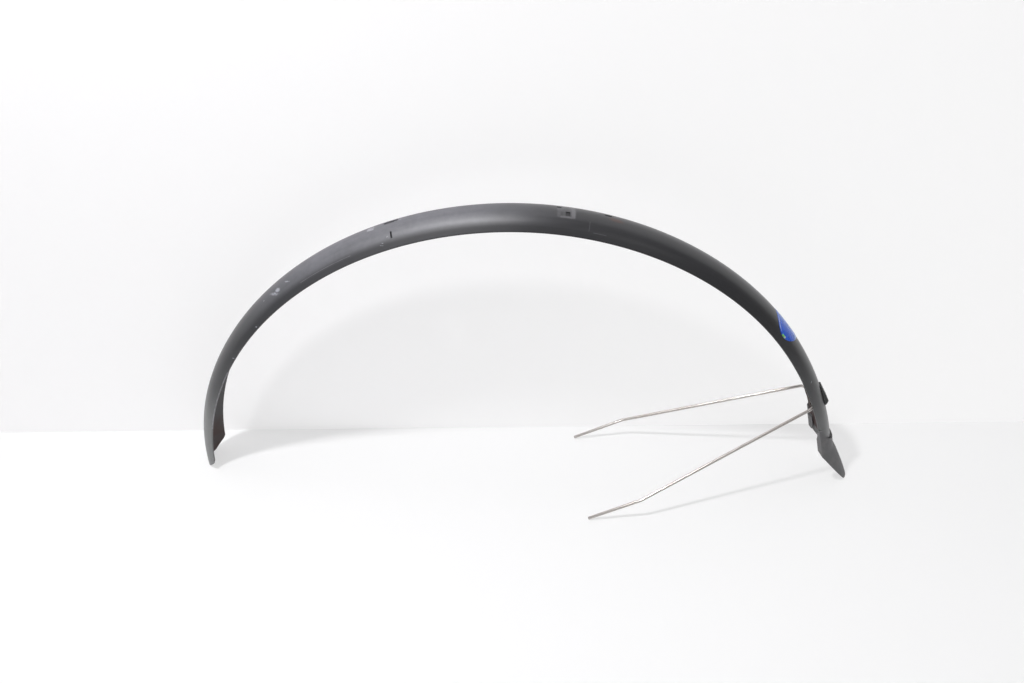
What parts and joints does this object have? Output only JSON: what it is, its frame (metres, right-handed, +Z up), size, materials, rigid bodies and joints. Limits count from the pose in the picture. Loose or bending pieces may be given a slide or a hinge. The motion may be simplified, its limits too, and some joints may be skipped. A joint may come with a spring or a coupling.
{
  "type": "bicycle mudguard",
  "caption": "Rear bicycle mudguard: a curved charcoal plastic blade for a large wheel, with a U-shaped wire stay in a bracket, a flared flap at its tail and a blue sticker.",
  "frame": {"origin": "the wheel's axle, in the blade's middle plane", "axes": "+X to the rear, along the blade's length between its two ends; +Y across the blade; +Z up from the axle to the blade's crown"},
  "size_m": [0.7642, 0.1383, 0.3506],
  "materials": {
    "blade_plastic": "satin charcoal plastic, scuffed round its fixing places",
    "flap_plastic": "soft dark grey plastic, dusty",
    "stay_steel": "bright drawn stainless wire",
    "bracket_plastic": "black moulded plastic",
    "hood_plastic": "dark greenish grey moulded plastic",
    "screw_steel": "plated steel",
    "sticker_film": "blue printed film, no lettering"
  },
  "bodies": {
    "root": {"mudguard_blade": "blade_plastic", "mudflap": "flap_plastic", "flap_screw": "screw_steel", "stay": "stay_steel", "stay_bracket": "bracket_plastic", "bracket_hood": "hood_plastic", "bracket_screw": "screw_steel", "sticker": "sticker_film"}
  },
  "joints": []
}
